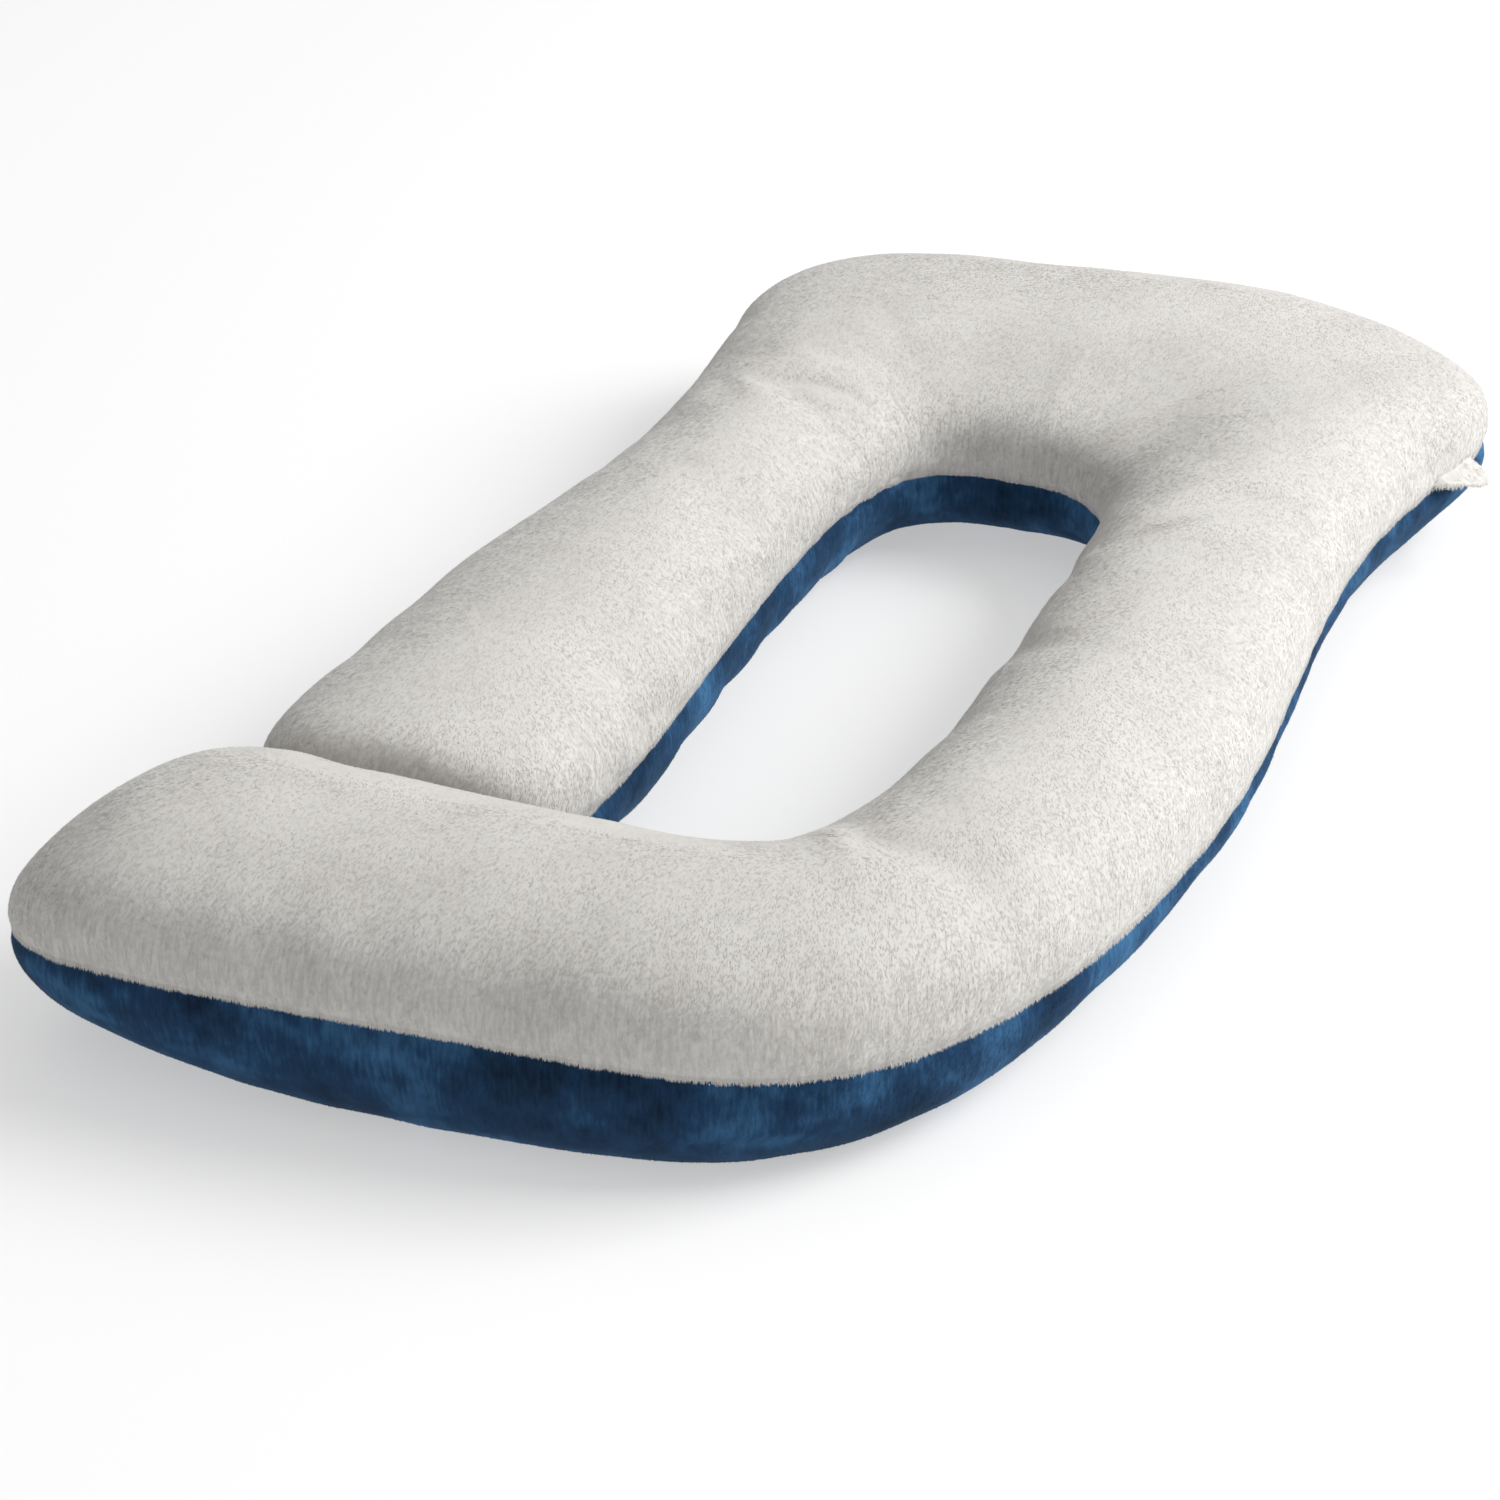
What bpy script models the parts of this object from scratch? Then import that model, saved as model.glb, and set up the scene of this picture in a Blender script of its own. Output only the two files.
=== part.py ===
"""A U-shaped pregnancy pillow, lying flat with its near arm bent across the foot.

Metres, +Z up. The head end is towards +Y and the foot towards -Y. The pillow is a
fat filled tube of two cut panels, pale plush above and dark plush below, which meet
at one seam round its sides. Each panel is a filled half of that tube.
"""
from collections import namedtuple
from math import radians

import bmesh
import bpy
from mathutils import Vector

COLLECTION = "pregnancy_pillow"
HELPERS = "pregnancy_pillow_helpers"

# The two panels' faces lie this far apart at the seam
PANEL_GAP = 0.0003

# Each level of subdivision splits every cage face into four
SUBDIVISIONS = 2

# A rung crosses the tube from its outer seam to its inner one. The seam and the crown
# are heights above the floor. Fullness is how far down the side the underside stays
# wide: at 1 it goes straight down to the floor.
Rung = namedtuple("Rung", "outer_x outer_y inner_x inner_y seam crown fullness")
RUNGS = (
    # Far arm, from its end at the foot to the head
    Rung(-0.398, -0.520, -0.165, -0.510, 0.105, 0.200, 0.70),
    Rung(-0.414, -0.465, -0.115, -0.465, 0.105, 0.212, 0.70),
    Rung(-0.405, -0.320, -0.100, -0.340, 0.105, 0.215, 0.70),
    Rung(-0.395, -0.180, -0.100, -0.205, 0.105, 0.215, 0.70),
    Rung(-0.370, -0.020, -0.105, -0.060, 0.105, 0.215, 0.70),
    Rung(-0.345, 0.130, -0.105, 0.080, 0.105, 0.210, 0.70),
    Rung(-0.330, 0.270, -0.100, 0.195, 0.105, 0.205, 0.70),
    Rung(-0.335, 0.410, -0.085, 0.280, 0.105, 0.210, 0.70),
    # Head end, round at its left corner and squarer at its right one
    Rung(-0.350, 0.550, -0.060, 0.335, 0.105, 0.215, 0.70),
    Rung(-0.335, 0.680, -0.025, 0.360, 0.105, 0.220, 0.70),
    Rung(-0.250, 0.765, 0.010, 0.370, 0.105, 0.220, 0.70),
    Rung(-0.105, 0.805, 0.040, 0.370, 0.105, 0.220, 0.70),
    Rung(0.065, 0.825, 0.065, 0.370, 0.105, 0.220, 0.70),
    Rung(0.225, 0.835, 0.090, 0.370, 0.105, 0.220, 0.70),
    Rung(0.390, 0.805, 0.120, 0.360, 0.105, 0.212, 0.70),
    Rung(0.510, 0.688, 0.150, 0.335, 0.105, 0.206, 0.60),
    # Near arm, from the head to the foot
    Rung(0.489, 0.560, 0.175, 0.290, 0.105, 0.213, 0.48),
    Rung(0.453, 0.405, 0.185, 0.220, 0.105, 0.215, 0.48),
    Rung(0.442, 0.250, 0.190, 0.120, 0.105, 0.215, 0.48),
    Rung(0.445, 0.080, 0.185, 0.000, 0.105, 0.215, 0.50),
    Rung(0.450, -0.090, 0.180, -0.120, 0.100, 0.220, 0.50),
    Rung(0.438, -0.250, 0.175, -0.240, 0.103, 0.225, 0.45),
    # Bend at the foot
    Rung(0.409, -0.408, 0.165, -0.350, 0.102, 0.230, 0.45),
    Rung(0.356, -0.556, 0.145, -0.435, 0.102, 0.230, 0.66),
    Rung(0.272, -0.690, 0.110, -0.490, 0.110, 0.230, 0.85),
    Rung(0.145, -0.770, 0.055, -0.515, 0.122, 0.230, 0.90),
    # Near arm's end, laid across the foot
    Rung(-0.005, -0.797, -0.025, -0.525, 0.131, 0.230, 0.95),
    Rung(-0.165, -0.819, -0.145, -0.530, 0.134, 0.235, 0.95),
    Rung(-0.315, -0.833, -0.275, -0.535, 0.136, 0.238, 0.80),
    Rung(-0.438, -0.830, -0.398, -0.547, 0.134, 0.240, 0.50),
    Rung(-0.507, -0.788, -0.478, -0.610, 0.124, 0.160, 0.15),
)

# Where the finished outline's middle lies in the rungs' own frame
OUTLINE_MIDDLE = Vector((0.014, 0.001, 0.0))

# The cage of each section stands out past the seam by this share of the tube's width,
# and has its shoulders and its crown at these shares of the crown's height
BULGE = 0.02
SHOULDER = 0.78
CROWN = 1.11

# The underside's cage dips this far below the floor, where it is cut off flat
FLOOR_DIP = 0.035

# The middle of each blunt end stands out this far past its last rung
END_BULGE = 0.012

# The dog-ear is a flap of loose cloth that hangs out over the seam at the head's right
# corner. Its folds follow each other along the seam, towards the head, and each one
# leaves the panel at its lift above the seam, reaches out and drops.
Fold = namedtuple("Fold", "along lift reach drop")
EAR_FOLDS = (
    Fold(-0.042, 0.006, 0.006, 0.002),
    Fold(-0.020, 0.014, 0.026, 0.012),
    Fold(0.004, 0.007, 0.040, 0.010),
    Fold(0.024, 0.015, 0.050, 0.024),
    Fold(0.044, 0.010, 0.018, 0.006),
)
EAR_SEAT = Vector((0.485, 0.565, 0.105))
EAR_TURN = radians(-10)
EAR_THICKNESS = 0.007

# How deep the dog-ear's root is sunk into the panel that it is part of
EAR_ROOT = 0.020

# The slab that cuts the underside off flat, as its sizes along X, Y and Z
SLAB = Vector((2.0, 3.0, 0.2))

PLUSH_ROUGHNESS = 0.9


def plush(name, colour):
    """A matt short-pile cloth."""
    material = bpy.data.materials.new(name)
    material.use_nodes = True
    shader = material.node_tree.nodes["Principled BSDF"]
    shader.inputs["Base Color"].default_value = (*colour, 1.0)
    shader.inputs["Roughness"].default_value = PLUSH_ROUGHNESS
    shader.inputs["Metallic"].default_value = 0.0
    material.diffuse_color = (*colour, 1.0)
    return material


def place(name, mesh, collection, frame):
    """Turns a finished bmesh into a named object that moves with frame."""
    bmesh.ops.recalc_face_normals(mesh, faces=mesh.faces)
    data = bpy.data.meshes.new(name)
    mesh.to_mesh(data)
    mesh.free()
    thing = bpy.data.objects.new(name, data)
    thing.parent = frame
    bpy.data.collections[collection].objects.link(thing)
    return thing


def subdivide(thing):
    smooth = thing.modifiers.new("soft form", "SUBSURF")
    smooth.levels = SUBDIVISIONS
    smooth.render_levels = SUBDIVISIONS


def combine(thing, operation, other):
    """Adds a Boolean of thing with a helper object, which isn't rendered."""
    other.hide_render = True
    other.display_type = "WIRE"
    boolean = thing.modifiers.new(other.name, "BOOLEAN")
    boolean.operation = operation
    boolean.solver = "EXACT"
    boolean.object = other


def held_out(points):
    """Moves each point out at its bend by what the subdivision then draws it in."""
    moved = [points[0]]
    for before, here, after in zip(points, points[1:], points[2:]):
        moved.append(here + (2 * here - before - after) / 6)
    return moved + [points[-1]]


def seam_lines():
    """The outer, middle and inner lines of the seam's face, down the whole tube."""
    outer = held_out([Vector((r.outer_x, r.outer_y, r.seam)) for r in RUNGS])
    inner = held_out([Vector((r.inner_x, r.inner_y, r.seam)) for r in RUNGS])
    middle = [(a + b) / 2 for a, b in zip(outer, inner)]
    middle[0] += (middle[0] - middle[1]).normalized() * END_BULGE
    middle[-1] += (middle[-1] - middle[-2]).normalized() * END_BULGE
    return outer, middle, inner


def half_tube(name, shoulder_height, middle_height, offset, frame):
    """One panel's filled half. The heights are functions of the rung."""
    mesh = bmesh.new()
    rows = []
    for rung, outer, middle, inner in zip(RUNGS, *seam_lines()):
        outer_shoulder = outer.lerp(inner, -BULGE)
        inner_shoulder = outer.lerp(inner, 1 + BULGE)
        crest = middle.copy()
        outer_shoulder.z = inner_shoulder.z = shoulder_height(rung)
        crest.z = middle_height(rung)
        outer.z = middle.z = inner.z = rung.seam + offset
        row = (outer, outer_shoulder, crest, inner_shoulder, inner, middle)
        rows.append([mesh.verts.new(point) for point in row])

    # The seam's outline stays sharp: both long edges, and round the two ends
    rim = []
    for row, following in zip(rows, rows[1:]):
        for k in range(len(row)):
            after = (k + 1) % len(row)
            mesh.faces.new((row[k], row[after], following[after], following[k]))
        rim += [(row[0], following[0]), (row[4], following[4])]
    for outer, outer_shoulder, crest, inner_shoulder, inner, middle in (rows[0], rows[-1]):
        mesh.faces.new((outer, outer_shoulder, crest, middle))
        mesh.faces.new((middle, crest, inner_shoulder, inner))
        rim += [(outer, middle), (middle, inner)]
    crease = mesh.edges.layers.float.new("crease_edge")
    for ends in rim:
        mesh.edges.get(ends)[crease] = 1.0

    panel = place(name, mesh, COLLECTION, frame)
    subdivide(panel)
    return panel


def top_panel(frame):
    def height(rung, share):
        return rung.seam + share * (rung.crown - rung.seam)

    panel = half_tube(
        "top_panel",
        lambda rung: height(rung, SHOULDER),
        lambda rung: height(rung, CROWN),
        PANEL_GAP / 2,
        frame,
    )
    combine(panel, "UNION", dog_ear(frame))
    panel.data.materials.append(plush("pale_plush", (0.66, 0.65, 0.62)))
    return panel


def bottom_panel(frame):
    panel = half_tube(
        "bottom_panel",
        lambda rung: rung.seam * (1 - rung.fullness),
        lambda rung: -FLOOR_DIP,
        -PANEL_GAP / 2,
        frame,
    )
    combine(panel, "DIFFERENCE", below_floor())
    panel.data.materials.append(plush("dark_plush", (0.02, 0.08, 0.18)))
    return panel


def dog_ear(frame):
    """The flap, from its root inside the pale panel out to its hanging edge."""
    mesh = bmesh.new()
    rows = []
    for fold in EAR_FOLDS:
        root = Vector((-EAR_ROOT, fold.along, fold.lift))
        seat = Vector((0.0, fold.along, fold.lift))
        tip = Vector((fold.reach, fold.along, fold.lift - fold.drop))
        rows.append([mesh.verts.new(point) for point in (root, seat, (seat + tip) / 2, tip)])
    for row, following in zip(rows, rows[1:]):
        for k in range(len(row) - 1):
            mesh.faces.new((row[k], row[k + 1], following[k + 1], following[k]))
    ear = place("dog_ear", mesh, HELPERS, frame)
    ear.location = EAR_SEAT
    ear.rotation_euler.z = EAR_TURN
    cloth = ear.modifiers.new("folded double", "SOLIDIFY")
    cloth.thickness = EAR_THICKNESS
    cloth.offset = 0.0
    subdivide(ear)
    return ear


def below_floor():
    """A slab whose top is the floor."""
    bpy.ops.mesh.primitive_cube_add(size=1.0, location=(0.0, 0.0, -SLAB.z / 2))
    slab = bpy.context.active_object
    slab.name = "below_floor"
    slab.scale = SLAB
    for collection in slab.users_collection:
        collection.objects.unlink(slab)
    bpy.data.collections[HELPERS].objects.link(slab)
    return slab


def main():
    for thing in list(bpy.data.objects):
        bpy.data.objects.remove(thing)
    for name in (COLLECTION, HELPERS):
        bpy.context.scene.collection.children.link(bpy.data.collections.new(name))
    frame = bpy.data.objects.new("pillow_middle", None)
    frame.location = -OUTLINE_MIDDLE
    bpy.data.collections[HELPERS].objects.link(frame)
    for panel in (top_panel(frame), bottom_panel(frame)):
        panel.data.shade_smooth()


main()
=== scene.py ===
"""The looks of a U-shaped pregnancy pillow in two-tone short-pile plush.

Two cut panels, pale above and dark below, meet at one seam round the sides. Each
CAD panel is replaced by a finer one that has the creases of a cloth simulation, the
seam's tuck and puckers and the soft unevenness of the filling, with its pile on it.
"""

from collections import namedtuple
from math import cos, pi, radians, sin

import bmesh
import bpy
import numpy as np
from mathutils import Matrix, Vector, noise
from mathutils.kdtree import KDTree


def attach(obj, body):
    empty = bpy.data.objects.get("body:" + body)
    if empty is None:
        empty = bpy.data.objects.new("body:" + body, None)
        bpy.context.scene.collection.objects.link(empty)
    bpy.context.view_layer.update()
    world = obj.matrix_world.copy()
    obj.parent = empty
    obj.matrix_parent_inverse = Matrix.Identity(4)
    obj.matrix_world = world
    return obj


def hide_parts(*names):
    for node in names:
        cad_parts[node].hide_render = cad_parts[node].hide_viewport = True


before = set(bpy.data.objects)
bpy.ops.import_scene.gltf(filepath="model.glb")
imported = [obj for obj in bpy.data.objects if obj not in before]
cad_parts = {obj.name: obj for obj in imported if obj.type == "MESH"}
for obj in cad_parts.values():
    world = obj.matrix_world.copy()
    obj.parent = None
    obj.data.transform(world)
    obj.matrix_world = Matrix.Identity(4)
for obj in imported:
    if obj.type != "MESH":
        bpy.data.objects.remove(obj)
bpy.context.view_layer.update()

# The camera of the photograph: its direction, how far it stands and where it looks
AZIMUTH = radians(22)
ELEVATION = radians(32)
CAMERA_DISTANCE = 3.2
LENS_MM = 80
AIM = Vector((-0.029, -0.244, 0.100))

# The studio: a large key light at the upper right and back, a world that is brightest
# one way and dims evenly to its far side, and a floor that glows a little, as lit white
# paper does
KEY_PLACE = (5.2, 2.4, 4.6)
KEY_TARGET = (0.0, -0.1, 0.1)
KEY_SIZE = 4.0
KEY_WATTS = 650
WORLD_LIGHT = (0.50, 0.15, 0.85)
WORLD_DIM = 0.05
WORLD_BRIGHT = 0.75
FLOOR_COLOUR = 0.45
FLOOR_GLOW = 0.46
FLOOR_ROUGHNESS = 0.9
FLOOR_REACH = 8.0
WHITE = (1.0, 1.0, 1.0, 1.0)

# A plush's three tones, its sheen and the sheen's tint, the share of its soft blotches in
# its tone, and how strong its streaks are
Plush = namedtuple("Plush", "deep main lit sheen tint mottle streaks")
PALE = Plush((0.485, 0.469, 0.445), (0.55, 0.535, 0.510), (0.60, 0.586, 0.560),
             0.30, (1.0, 0.98, 0.94), 0.35, 0.62)
DARK = Plush((0.004, 0.013, 0.030), (0.012, 0.041, 0.096), (0.042, 0.130, 0.260),
             0.18, (0.20, 0.42, 0.72), 0.75, 0.35)

# The noise in a plush: blotches and specks by place, and streaks by the way round the
# seam and the way down to it. The streaks' noise is stretched out from its range, and the
# specks' noise is drawn in to its own.
Noise = namedtuple("Noise", "scale detail roughness")
BLOTCHES = Noise(11.0, 3.0, 0.6)
SPECKS = Noise(260.0, 2.0, 0.6)
STREAKS = Noise(1.0, 2.0, 0.55)
STREAK_SCALES = (270.0, 270.0, 55.0)
STREAK_RANGE = (0.3, 0.7)
SPECK_RANGE = (0.38, 0.62)

# A tone at or below the first of these is the deep one, at the second the main one, and
# at or above the third the lit one
TONES = (0.34, 0.50, 0.68)

# How all plush takes light, and the relief of its specks and streaks
PLUSH_ROUGHNESS = 0.95
PLUSH_SPECULAR = 0.10
SHEEN_ROUGHNESS = 0.45
RELIEF = 0.40
RELIEF_HEIGHT = 0.0008

# The CAD's triangles are welded at this distance and joined to quads within these
# angles. The face at the seam looks this squarely up or down, and it ends where the
# surface turns by more than its angle.
WELD = 0.00002
QUAD_BEND = radians(40)
QUAD_SKEW = radians(70)
SEAM_SQUARE = 0.95
SEAM_TURN = radians(30)

# Rows of faces beside the seam, as their widths, and the levels of subdivision before
# and after the cloth is simulated
SEAM_ROWS = (0.012, 0.005)
LEVELS_BEFORE = 1
LEVELS_AFTER = 1

# The cloth simulation: the filling's pressure, how much larger than its filling the
# cloth is cut, its stiffness in each way, the height up to which the floor holds it, and
# the frames that it runs for
PRESSURE = 4.0
SLACK = 0.03
BENDING = 0.5
STRETCHING = 30
SHEARING = 10
HELD_HEIGHT = 0.0015
FRAMES = 20

# Only the simulation's creases are kept, and not its broad swelling, because the CAD's
# form is full already. They are softened, and the swelling is found by smoothing, in
# this many rounds each. No point moves further than the limit of its panel.
SOFTENING = 2
SWELLING = 60
CREASE_LIMITS = {"top_panel": 0.0065, "bottom_panel": 0.0025}

# The cloth is slack beside the body's space, a line from the foot to the head, and taut
# at the outside: creases are whole within the near distance and a share beyond the far
SPACE = ((0.0, -0.40), (0.03, 0.30))
SLACK_NEAR = 0.22
SLACK_FAR = 0.36
TAUT_SHARE = 0.30

# The seam draws both panels in by this much, over this width on the side that shows and
# over this many times that on the face at the seam
SEAM_TUCK = 0.0025
SEAM_WIDTH = 0.010
SEAM_INSIDE = 3

# Puckers along the seam: their pitch, their height and how far they run up a panel
PUCKER_PITCH = 0.022
PUCKER_HEIGHT = 0.0016
PUCKER_REACH = 0.030

# The filling's unevenness, as the size of its lumps and their height, which fades out
# towards the seam and towards the floor over these distances
Lumps = namedtuple("Lumps", "size height")
FILLING = (Lumps(0.24, 0.0040), Lumps(0.09, 0.0016))
FILLING_FADE = 0.050
FLOOR_FADE = 0.030

# Streaks show in full up to the near distance from the seam, and not beyond the far one
STEEP_NEAR = 0.04
STEEP_FAR = 0.13

# The pile: the blades in a piece, their length, their width, the angle they stand up at,
# how far they stray from the nap, and how much darker their root is, as painted shade, and paler
# their tip, as painted light
Pile = namedtuple("Pile", "blades length width lie stray root tip")
PALE_PILE = Pile(190000, 0.0060, 0.0015, radians(4.2), radians(11), -0.003, 0.003)
DARK_PILE = Pile(190000, 0.0050, 0.0011, radians(7), radians(14), -0.015, 0.015)
FRINGE = Pile(60000, 0.0042, 0.0007, radians(6), radians(12), 0.000, 0.030)

# A blade's length and stand vary by these shares, its tone by this much, its root lies
# this deep in the cloth, and its light leans down the nap and strays by these amounts
LENGTHS = (0.6, 1.25)
STANDS = (0.5, 1.5)
SHADE_STRAY = 0.006
ROOT_DEPTH = 0.0004
NAP_LEAN = 0.06
LIGHT_STRAY = 0.02

# Below the first height a panel lies on the floor, where blades are this share as many.
# Blades rooted below the second lie flat, and no tip goes below the third.
LYING_HEIGHT = 0.002
LYING_SHARE = 0.15
FLAT_HEIGHT = 0.001
TIP_HEIGHT = 0.0002

# The nap runs down the slope, and towards the foot where the cloth is level
LEVEL_NAP = Vector((0.0, -0.25, 0.0))

# The pile turns in patches of this size, by up to this angle
PATCH_SIZE = 0.045
PATCH_TURN = radians(22)

# The fringe is rooted within this distance of the seam, stands out this far over the
# panel below, and its length varies along the seam in tufts of this size
FRINGE_ROOTS = 0.005
FRINGE_STAND = 0.0012
FRINGE_TUFT = 0.0030

# A fringe blade's length, as a share of the full one: its mean, what its tuft adds or
# takes, and how far it strays. Its light leans out and strays, and so does its tone.
FRINGE_MEAN = 0.85
FRINGE_TUFTING = 0.40
FRINGE_STRAY = 0.2
FRINGE_LEAN = 0.3
FRINGE_LIGHT_STRAY = 0.05
FRINGE_SHADE_STRAY = 0.02

# The seeds of the smooth noise, and the way that each one moves it
PUCKER_SEED = 1
FILLING_SEED = 2
PATCH_SEED = 11
TUFT_SEED = 21
SEED_STEP = (7.3, 3.1, 5.7)


def camera():
    """Stands the camera at the photograph's viewing angle."""
    lens = bpy.data.cameras.new("camera")
    lens.lens = LENS_MM
    thing = bpy.data.objects.new("camera", lens)
    bpy.context.scene.collection.objects.link(thing)
    level = cos(ELEVATION)
    back = Vector((sin(AZIMUTH) * level, -cos(AZIMUTH) * level, sin(ELEVATION)))
    thing.location = AIM + back * CAMERA_DISTANCE
    thing.rotation_euler = back.to_track_quat("Z", "Y").to_euler()
    bpy.context.scene.camera = thing


def key_light():
    """A square white light of the key's size, aimed at the pillow."""
    data = bpy.data.lights.new("key", "AREA")
    data.size = KEY_SIZE
    data.energy = KEY_WATTS
    thing = bpy.data.objects.new("key", data)
    thing.location = KEY_PLACE
    away = Vector(KEY_PLACE) - Vector(KEY_TARGET)
    thing.rotation_euler = away.to_track_quat("Z", "Y").to_euler()
    bpy.context.scene.collection.objects.link(thing)


def studio():
    """The world, the key light and the floor."""
    scene = bpy.context.scene
    scene.view_settings.view_transform = "Standard"
    world = bpy.data.worlds.new("studio")
    world.use_nodes = True
    nodes = world.node_tree.nodes
    links = world.node_tree.links
    way = nodes.new("ShaderNodeTexCoord")
    towards_light = nodes.new("ShaderNodeVectorMath")
    towards_light.operation = "DOT_PRODUCT"
    towards_light.inputs[1].default_value = WORLD_LIGHT
    strength = nodes.new("ShaderNodeMapRange")
    strength.inputs["From Min"].default_value = -1.0
    strength.inputs["To Min"].default_value = WORLD_DIM
    strength.inputs["To Max"].default_value = WORLD_BRIGHT
    links.new(way.outputs["Generated"], towards_light.inputs[0])
    links.new(towards_light.outputs["Value"], strength.inputs["Value"])
    links.new(strength.outputs["Result"], nodes["Background"].inputs["Strength"])
    nodes["Background"].inputs["Color"].default_value = WHITE
    scene.world = world
    key_light()

    mesh = bpy.data.meshes.new("floor")
    signs = ((-1, -1), (1, -1), (1, 1), (-1, 1))
    corners = [(x * FLOOR_REACH, y * FLOOR_REACH, 0) for x, y in signs]
    mesh.from_pydata(corners, [], [(0, 1, 2, 3)])
    floor = bpy.data.objects.new("floor", mesh)
    scene.collection.objects.link(floor)
    paper = bpy.data.materials.new("floor")
    paper.use_nodes = True
    shader = paper.node_tree.nodes["Principled BSDF"]
    shader.inputs["Base Color"].default_value = (FLOOR_COLOUR, FLOOR_COLOUR, FLOOR_COLOUR, 1.0)
    shader.inputs["Roughness"].default_value = FLOOR_ROUGHNESS
    shader.inputs["Emission Color"].default_value = WHITE
    shader.inputs["Emission Strength"].default_value = FLOOR_GLOW
    mesh.materials.append(paper)


class Nodes:
    """Adds nodes to a material's tree with little writing."""

    def __init__(self, material):
        self.tree = material.node_tree
        self.shader = self.tree.nodes["Principled BSDF"]

    def add(self, kind, settings=(), **links):
        node = self.tree.nodes.new("ShaderNode" + kind)
        for name, value in dict(settings).items():
            setattr(node, name, value)
        for name, value in links.items():
            self.feed(node.inputs[name.replace("_", " ")], value)
        return node

    def feed(self, socket, value):
        if isinstance(value, bpy.types.NodeSocket):
            self.tree.links.new(value, socket)
        else:
            socket.default_value = value

    def attribute(self, name):
        return self.add("Attribute", {"attribute_name": name})

    def noise(self, vector, kind):
        node = self.add("TexNoise", Scale=kind.scale, Detail=kind.detail, Roughness=kind.roughness)
        self.tree.links.new(vector, node.inputs["Vector"])
        return node.outputs["Fac"]

    def scaled(self, vector, by):
        node = self.add("VectorMath", {"operation": "MULTIPLY"})
        self.tree.links.new(vector, node.inputs[0])
        node.inputs[1].default_value = by
        return node.outputs["Vector"]

    def math(self, operation, *values):
        node = self.add("Math", {"operation": operation})
        for socket, value in zip(node.inputs, values):
            self.feed(socket, value)
        return node.outputs["Value"]

    def spread(self, value, low, high, to_low, to_high):
        node = self.add("MapRange", From_Min=low, From_Max=high, To_Min=to_low, To_Max=to_high)
        self.feed(node.inputs["Value"], value)
        return node.outputs["Result"]

    def mix(self, factor, a, b):
        node = self.add("Mix", {"data_type": "RGBA"})
        self.feed(node.inputs["Factor"], factor)
        # The colours' sockets share their names with the numbers', so they go by number
        self.feed(node.inputs[6], a)
        self.feed(node.inputs[7], b)
        return node.outputs[2]


def plush(name, look):
    """Short-pile cloth: soft blotches where the pile turns, and streaks down the nap."""
    material = bpy.data.materials.new(name)
    material.use_nodes = True
    nodes = Nodes(material)
    place = nodes.add("TexCoord").outputs["Object"]
    nap = nodes.attribute("nap").outputs["Vector"]
    steep = nodes.attribute("steep").outputs["Fac"]
    tone_and_painted_light = nodes.attribute("tone_and_painted_light").outputs["Fac"]

    blotches = nodes.noise(place, BLOTCHES)
    specks = nodes.noise(place, SPECKS)
    streaks = nodes.noise(nodes.scaled(nap, STREAK_SCALES), STREAKS)
    # The streaks show on the sides, and give way to faint specks over the crown
    specks = nodes.spread(specks, 0.0, 1.0, *SPECK_RANGE)
    strength = look.streaks / 2
    streaks = nodes.spread(streaks, *STREAK_RANGE, 0.5 - strength, 0.5 + strength)
    fine = nodes.mix(steep, specks, streaks)
    tone = nodes.math("ADD", nodes.math("MULTIPLY", blotches, look.mottle),
                      nodes.math("MULTIPLY", fine, 1.0 - look.mottle))
    # The blades' random tone, with painted shade at their roots and painted light at their tips
    tone = nodes.math("ADD", tone, tone_and_painted_light)
    above_deep = nodes.spread(tone, *TONES[:2], 0.0, 1.0)
    above_main = nodes.spread(tone, *TONES[1:], 0.0, 1.0)
    low = nodes.mix(above_deep, (*look.deep, 1.0), (*look.main, 1.0))
    colour = nodes.mix(above_main, low, (*look.lit, 1.0))
    sockets = nodes.shader.inputs
    nodes.feed(sockets["Base Color"], colour)
    sockets["Roughness"].default_value = PLUSH_ROUGHNESS
    sockets["Specular IOR Level"].default_value = PLUSH_SPECULAR
    sockets["Sheen Weight"].default_value = look.sheen
    sockets["Sheen Roughness"].default_value = SHEEN_ROUGHNESS
    sockets["Sheen Tint"].default_value = (*look.tint, 1.0)
    bump = nodes.add("Bump", Strength=RELIEF, Distance=RELIEF_HEIGHT, Height=fine)
    nodes.feed(sockets["Normal"], bump.outputs["Normal"])
    return material


def cage(node):
    """The CAD panel in welded quads, with its face at the seam marked."""
    towards_seam = Vector((0, 0, -1 if node == "top_panel" else 1))
    mesh = bmesh.new()
    mesh.from_mesh(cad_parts[node].data)
    bmesh.ops.remove_doubles(mesh, verts=mesh.verts, dist=WELD)
    inside = mesh.faces.layers.int.new("inside")
    facing = [face for face in mesh.faces if face.normal.dot(towards_seam) > SEAM_SQUARE]
    found = {max(facing, key=lambda face: face.calc_area())}
    waiting = list(found)
    while waiting:
        face = waiting.pop()
        for other in {f for edge in face.edges for f in edge.link_faces} - found:
            if other.normal.dot(face.normal) > cos(SEAM_TURN):
                found.add(other)
                waiting.append(other)
    for face in mesh.faces:
        face[inside] = 1 if face in found else 0
    for part in (0, 1):
        faces = [face for face in mesh.faces if face[inside] == part]
        bmesh.ops.join_triangles(mesh, faces=faces, angle_face_threshold=QUAD_BEND,
                                 angle_shape_threshold=QUAD_SKEW)
    for width in SEAM_ROWS:
        faces = [face for face in mesh.faces if face[inside] == 0]
        bmesh.ops.inset_region(mesh, faces=faces, thickness=width, use_even_offset=True)
    data = bpy.data.meshes.new(node + "_cage")
    mesh.to_mesh(data)
    mesh.free()
    return data


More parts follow.
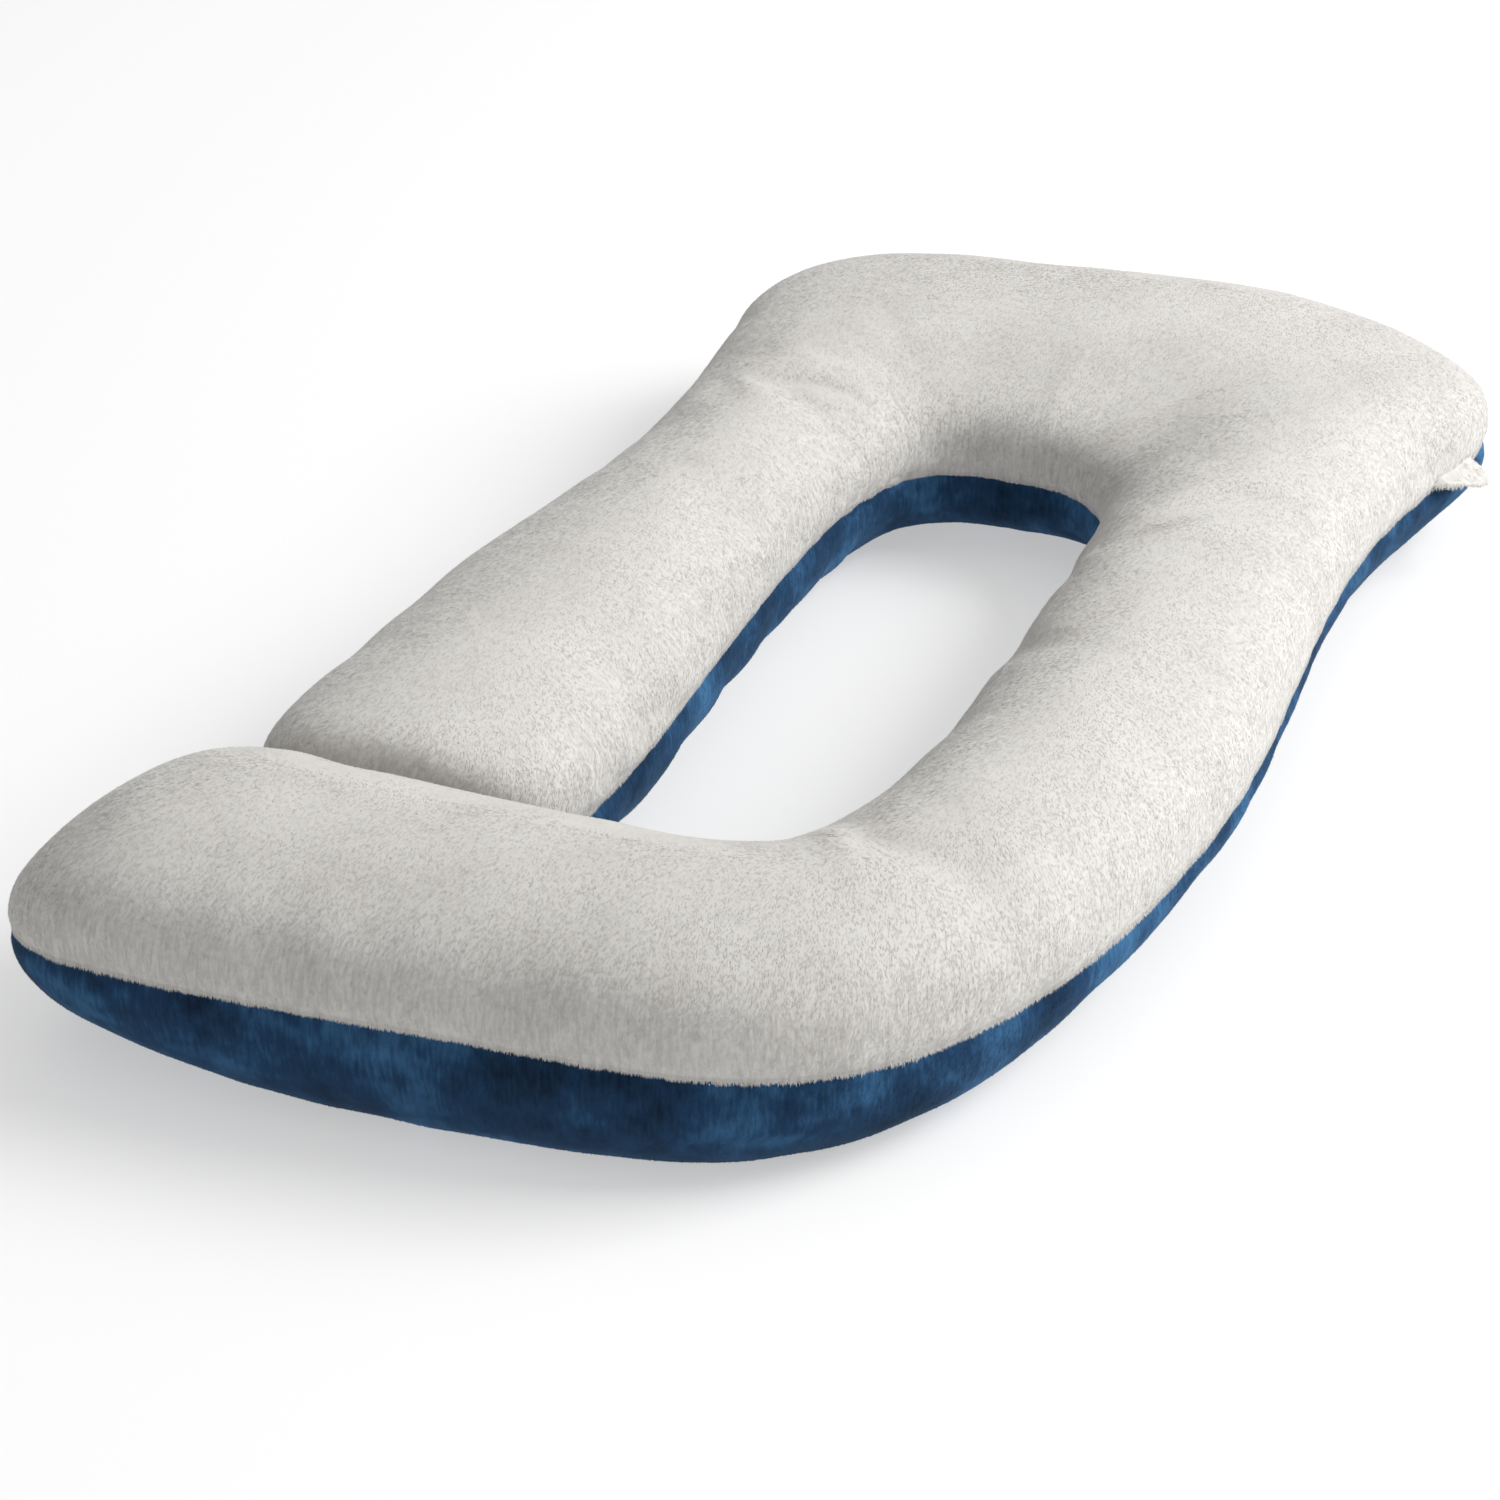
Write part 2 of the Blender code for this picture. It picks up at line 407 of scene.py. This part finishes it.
def numbers(items, key, width, kind=np.float32):
    """A property of every item of a Blender collection, as an array."""
    flat = np.empty(len(items) * width, kind)
    items.foreach_get(key, flat)
    return flat.reshape(-1, width) if width > 1 else flat


def rim_edges(data):
    """Which edges lie between the face at the seam and the faces that show."""
    inside = numbers(data.attributes["inside"].data, "value", 1, np.int32)
    counts = numbers(data.polygons, "loop_total", 1, np.int32)
    edge_of = numbers(data.loops, "edge_index", 1, np.int32)
    return np.bincount(edge_of, np.repeat(inside, counts), len(data.edges)) == 1


def subdivide(thing, levels):
    """Smooths and divides a mesh object's faces, with its rim kept sharp."""
    data = thing.data
    crease = data.attributes.get("crease_edge")
    if crease is None:
        crease = data.attributes.new("crease_edge", "FLOAT", "EDGE")
    crease.data.foreach_set("value", rim_edges(data).astype(np.float32))
    smooth = thing.modifiers.new("soft form", "SUBSURF")
    smooth.levels = levels
    smooth.render_levels = levels
    smooth.boundary_smooth = "ALL"
    bpy.context.view_layer.update()
    graph = bpy.context.evaluated_depsgraph_get()
    fine = bpy.data.meshes.new_from_object(thing.evaluated_get(graph))
    thing.modifiers.clear()
    thing.data = fine
    fine.name = thing.name


def smoothed(values, edges, rounds):
    """Each vertex's value drawn half way to the mean of its neighbours, over and over."""
    a, b = edges.T
    count = len(values)
    share = np.bincount(a, minlength=count) + np.bincount(b, minlength=count)
    for _ in range(rounds):
        total = np.stack([np.bincount(a, column[b], count) + np.bincount(b, column[a], count)
                          for column in values.T], 1)
        values = 0.5 * values + 0.5 * total / share[:, None]
    return values


def slackness(points):
    """The share of its creases that the cloth keeps, from its distance to the space."""
    start, end = np.array(SPACE)
    along = np.clip((points[:, :2] - start) @ (end - start) / np.sum((end - start) ** 2), 0, 1)
    away = np.linalg.norm(points[:, :2] - start - along[:, None] * (end - start), axis=1)
    return 1 - (1 - TAUT_SHARE) * np.clip((away - SLACK_NEAR) / (SLACK_FAR - SLACK_NEAR), 0, 1)


def fill(thing, limit):
    """Runs the cloth over its filling, held at the seam and the floor, and applies it."""
    data = thing.data
    points = numbers(data.vertices, "co", 3).astype(float)
    edges = numbers(data.edges, "vertices", 2, np.int32)
    inside = numbers(data.attributes["inside"].data, "value", 1, np.int32)
    shown = outer_normals(data, inside)[1]
    held = ~shown | (points[:, 2] < HELD_HEIGHT)
    held[edges[rim_edges(data)]] = True
    pins = thing.vertex_groups.new(name="held")
    pins.add(np.nonzero(held)[0].tolist(), 1.0, "REPLACE")

    cloth = thing.modifiers.new("cloth", "CLOTH")
    cloth.point_cache.frame_end = FRAMES
    cloth.collision_settings.use_collision = False
    cloth.settings.vertex_group_mass = pins.name
    cloth.settings.use_pressure = True
    cloth.settings.uniform_pressure_force = PRESSURE
    cloth.settings.shrink_min = -SLACK
    cloth.settings.bending_stiffness = BENDING
    cloth.settings.tension_stiffness = STRETCHING
    cloth.settings.compression_stiffness = STRETCHING
    cloth.settings.shear_stiffness = SHEARING
    cloth.settings.effector_weights.gravity = 0
    scene = bpy.context.scene
    for number in range(1, FRAMES + 1):
        scene.frame_set(number)
    graph = bpy.context.evaluated_depsgraph_get()
    settled = thing.evaluated_get(graph).data
    moves = numbers(settled.vertices, "co", 3) - points
    thing.modifiers.clear()
    thing.vertex_groups.clear()
    scene.frame_set(1)

    kept = np.where(held, 0, slackness(points))[:, None]
    creases = kept * (smoothed(moves, edges, SOFTENING) - smoothed(moves, edges, SWELLING))
    size = np.linalg.norm(creases, axis=1)
    creases = creases * (limit * np.tanh(size / limit) / np.maximum(size, 1e-9))[:, None]
    points = points + creases
    points[:, 2] = np.maximum(points[:, 2], 0)
    data.vertices.foreach_set("co", points.ravel())
    data.update()


class Rim:
    """The seam's line round a panel, with how far round it and which way is out."""

    def __init__(self, data):
        points = numbers(data.vertices, "co", 3)
        ends = numbers(data.edges, "vertices", 2, np.int32)
        sharp = rim_edges(data)
        data.edges.foreach_set("use_edge_sharp", sharp)
        beside = {}
        for a, b in ends[sharp]:
            beside.setdefault(int(a), []).append(int(b))
            beside.setdefault(int(b), []).append(int(a))
        start = min(beside, key=lambda i: tuple(points[i]))
        loop = [start]
        before, here = None, start
        while True:
            following = [i for i in beside[here] if i != before]
            before, here = here, following[0]
            if here == start:
                break
            loop.append(here)
        line = points[loop]
        after = np.roll(line, -1, 0)
        twice_area = np.sum(line[:, 0] * after[:, 1] - after[:, 0] * line[:, 1])
        if twice_area < 0:
            line = line[::-1]
            after = np.roll(line, -1, 0)
        steps = np.linalg.norm(after - line, axis=1)
        self.length = steps.sum()
        round_it = np.concatenate(([0.0], np.cumsum(steps)[:-1])) / self.length
        ahead = np.roll(line, -1, 0) - np.roll(line, 1, 0)
        out = np.stack((ahead[:, 1], -ahead[:, 0], 0 * ahead[:, 0]), 1)
        self.out = out / np.linalg.norm(out, axis=1)[:, None]
        self.line = line
        self.round_it = round_it
        self.tree = KDTree(len(line))
        for number, point in enumerate(line):
            self.tree.insert(point, number)
        self.tree.balance()

    def nearest(self, points):
        """For each point: its distance, the share of the way round and out's direction."""
        found = [self.tree.find(point) for point in points]
        number = np.array([f[1] for f in found])
        step = points - self.line[number]
        return np.linalg.norm(step, axis=1), self.round_it[number], self.out[number]


def wave(places, size, seed):
    """Smooth noise from about -1 to 1 at each place."""
    shift = Vector([seed * step for step in SEED_STEP])
    return np.array([noise.noise(Vector(place) / size + shift) for place in places])


def on_circle(round_it, length):
    """The way round as a point on a circle of that length, so that it has no end."""
    turn = round_it * 2 * pi
    radius = length / (2 * pi)
    return np.stack((radius * np.cos(turn), radius * np.sin(turn)), 1)


def outer_normals(data, inside):
    """Each vertex's normal from the faces that show, and which vertices have one."""
    normals = np.zeros((len(data.vertices), 3))
    face_normals = numbers(data.polygons, "normal", 3)
    areas = numbers(data.polygons, "area", 1)
    starts = numbers(data.polygons, "loop_start", 1, np.int32)
    counts = numbers(data.polygons, "loop_total", 1, np.int32)
    corners = numbers(data.loops, "vertex_index", 1, np.int32)
    face_of = np.repeat(np.arange(len(starts)), counts)
    shown = inside[face_of] == 0
    np.add.at(normals, corners[shown], (face_normals * areas[:, None])[face_of[shown]])
    size = np.linalg.norm(normals, axis=1)
    return normals / np.maximum(size, 1e-12)[:, None], size > 0


def keep(data, name, values):
    """Writes a number, or a vector, for each vertex of a mesh under a name."""
    if values.ndim == 2:
        data.attributes.new(name, "FLOAT_VECTOR", "POINT").data.foreach_set("vector", values.ravel())
    else:
        data.attributes.new(name, "FLOAT", "POINT").data.foreach_set("value", values)


# What the pile reads at a panel's vertices, and its faces that show
Surface = namedtuple("Surface", "points normals down out nap steep quads areas")


def panel(node, name, material):
    """The fine panel that stands for a CAD panel, and the surface that its pile needs."""
    thing = bpy.data.objects.new(name, cage(node))
    bpy.context.scene.collection.objects.link(thing)
    subdivide(thing, LEVELS_BEFORE)
    fill(thing, CREASE_LIMITS[node])
    subdivide(thing, LEVELS_AFTER)
    data = thing.data
    inside = numbers(data.attributes["inside"].data, "value", 1, np.int32)
    rim = Rim(data)
    points = numbers(data.vertices, "co", 3).astype(float)
    normals, shown = outer_normals(data, inside)
    down, round_it, out = rim.nearest(points)
    circle = on_circle(round_it, rim.length)

    # The seam: a tuck all along it, with small puckers
    reach = np.where(shown, SEAM_WIDTH, SEAM_INSIDE * SEAM_WIDTH)
    places = np.column_stack((circle, np.zeros(len(circle))))
    pucker = PUCKER_HEIGHT * wave(places, PUCKER_PITCH, PUCKER_SEED) * np.exp(-down / PUCKER_REACH)
    tuck = -SEAM_TUCK * np.exp(-(down / reach) ** 2)
    pucker = np.where(shown, pucker, pucker * np.exp(-down / SEAM_WIDTH))
    points += (tuck + pucker)[:, None] * out

    # The filling's lumps, which stop at the seam and at the floor
    lift = sum(lumps.height * wave(points, lumps.size, FILLING_SEED + k)
               for k, lumps in enumerate(FILLING))
    lift = lift * np.clip(down / FILLING_FADE, 0, 1) * np.clip(points[:, 2] / FLOOR_FADE, 0, 1)
    points += np.where(shown, lift, 0)[:, None] * normals
    points[:, 2] = np.maximum(points[:, 2], 0)
    data.vertices.foreach_set("co", points.ravel())
    data.update()

    # The nap runs down to the seam
    nap = np.column_stack((circle, down))
    steep = np.clip((STEEP_FAR - down) / (STEEP_FAR - STEEP_NEAR), 0, 1)
    keep(data, "nap", nap)
    keep(data, "steep", steep)
    data.shade_smooth()
    data.materials.clear()
    data.materials.append(material)
    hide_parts(node)
    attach(thing, "root")

    outside = inside == 0
    corners = numbers(data.loops, "vertex_index", 1, np.int32).reshape(-1, 4)[outside]
    areas = numbers(data.polygons, "area", 1)[outside]
    normals = outer_normals(data, inside)[0]
    return Surface(points, normals, down, out, nap, steep, corners, areas)


def unit(vectors):
    """The vectors, each at length 1."""
    return vectors / np.maximum(np.linalg.norm(vectors, axis=1), 1e-9)[:, None]


def turned(vectors, axes, angles):
    """Each vector turned about an axis at right angles to it."""
    return vectors * np.cos(angles)[:, None] + np.cross(axes, vectors) * np.sin(angles)[:, None]


def scattered(surface, weights, count, rng):
    """Random places on a surface's faces, as a function that reads its facts there."""
    chance = surface.areas * weights
    face = rng.choice(len(chance), count, p=chance / chance.sum())
    a, b = rng.random((2, count, 1))
    shares = np.concatenate(((1 - a) * (1 - b), a * (1 - b), a * b, (1 - a) * b), 1)
    corners = surface.quads[face]
    return lambda values: np.einsum("nk,nk...->n...", shares, values[corners])


def blades(name, slot, material, roots, normals, tips, across, tone_and_painted_light, nap, steep):
    """One piece of pile: a thin blade from each root to its tip, lit as the cloth is."""
    count = len(roots)
    points = np.stack((roots + across, roots - across, tips), 1).reshape(-1, 3)
    data = bpy.data.meshes.new(name)
    data.vertices.add(3 * count)
    data.loops.add(3 * count)
    data.polygons.add(count)
    data.vertices.foreach_set("co", points.ravel())
    data.loops.foreach_set("vertex_index", np.arange(3 * count))
    data.polygons.foreach_set("loop_start", np.arange(0, 3 * count, 3))
    data.update(calc_edges=True)
    data.shade_smooth()
    data.normals_split_custom_set_from_vertices(np.repeat(normals, 3, 0).tolist())
    keep(data, "tone_and_painted_light", tone_and_painted_light.ravel())
    keep(data, "steep", np.repeat(steep, 3))
    keep(data, "nap", np.repeat(nap, 3, 0))
    data.materials.append(material)
    thing = bpy.data.objects.new(name, data)
    bpy.context.scene.collection.objects.link(thing)
    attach(thing, "root")


def pile(name, slot, material, surface, look, seed):
    """Short pile all over a panel, lying down its nap and turned in soft patches."""
    rng = np.random.default_rng(seed)
    lying = surface.points[surface.quads, 2].mean(1) < LYING_HEIGHT
    at = scattered(surface, np.where(lying, LYING_SHARE, 1.0), look.blades, rng)
    roots = at(surface.points)
    normals = unit(at(surface.normals))
    slope = np.array(LEVEL_NAP) + (0, 0, -1)
    nap = unit(slope - (normals @ slope)[:, None] * normals)
    turn = PATCH_TURN * at(wave(surface.points, PATCH_SIZE, PATCH_SEED))
    nap = turned(nap, normals, turn + rng.normal(0, look.stray, len(roots)))
    stand = (look.lie * rng.uniform(*STANDS, len(roots)))[:, None]
    length = (look.length * rng.uniform(*LENGTHS, len(roots)))[:, None]
    tips = roots + (nap * np.cos(stand) + normals * np.sin(stand)) * length
    tips[:, 2] = np.maximum(tips[:, 2], TIP_HEIGHT)
    across = np.cross(normals, nap) * look.width / 2
    across[:, 2] = np.where(roots[:, 2] < FLAT_HEIGHT, 0, across[:, 2])
    lit = unit(normals + NAP_LEAN * nap + rng.normal(0, LIGHT_STRAY, normals.shape))
    # Each blade's tone strays at random, and its root is darkened as painted shade and its tip
    # lightened as painted light
    tone_and_painted_light = rng.normal(0, SHADE_STRAY, len(roots))[:, None] + (look.root, look.root, look.tip)
    roots = roots - normals * ROOT_DEPTH
    roots[:, 2] = np.maximum(roots[:, 2], 0)
    facts = at(surface.nap), at(surface.steep)
    blades(name, slot, material, roots, lit, tips, across, tone_and_painted_light, *facts)


def fringe(name, slot, material, surface, look, seed):
    """The pale pile that hangs over the seam, in small uneven tufts."""
    rng = np.random.default_rng(seed)
    near = surface.down[surface.quads].mean(1) < FRINGE_ROOTS
    at = scattered(surface, near.astype(float), look.blades, rng)
    roots = at(surface.points)
    normals = unit(at(surface.normals))
    out = unit(at(surface.out))
    tuft = wave(roots * (1, 1, 0), FRINGE_TUFT, TUFT_SEED)
    share = FRINGE_MEAN + FRINGE_TUFTING * tuft
    share = share + rng.uniform(-FRINGE_STRAY, FRINGE_STRAY, len(roots))
    length = (look.length * share)[:, None]
    sideways = np.cross(out, (0, 0, 1)) * rng.normal(0, look.stray, len(roots))[:, None]
    down_slope = unit(np.array((0, 0, -1.0)) + normals * normals[:, 2:])
    fall = unit(down_slope + sideways)
    tips = roots + fall * length + out * FRINGE_STAND
    across = unit(np.cross(normals, fall)) * look.width / 2
    lit = unit(normals + FRINGE_LEAN * out + rng.normal(0, FRINGE_LIGHT_STRAY, normals.shape))
    # The tone strays at random, and the tips are lightened along the seam as painted light
    stray = rng.normal(0, FRINGE_SHADE_STRAY, len(roots))
    tone_and_painted_light = stray[:, None] + (look.root, look.root, look.tip)
    facts = at(surface.nap), at(surface.steep)
    blades(name, slot, material, roots, lit, tips, across, tone_and_painted_light, *facts)


camera()
studio()
pale = plush("pale_plush_fine", PALE)
dark = plush("dark_plush_fine", DARK)
top = panel("top_panel", "top_plush", pale)
bottom = panel("bottom_panel", "bottom_plush", dark)
pile("top_pile_a", "pale_plush", pale, top, PALE_PILE, 1)
pile("top_pile_b", "pale_plush", pale, top, PALE_PILE, 2)
pile("bottom_pile", "dark_plush", dark, bottom, DARK_PILE, 3)
fringe("seam_fringe", "pale_plush", pale, top, FRINGE, 4)
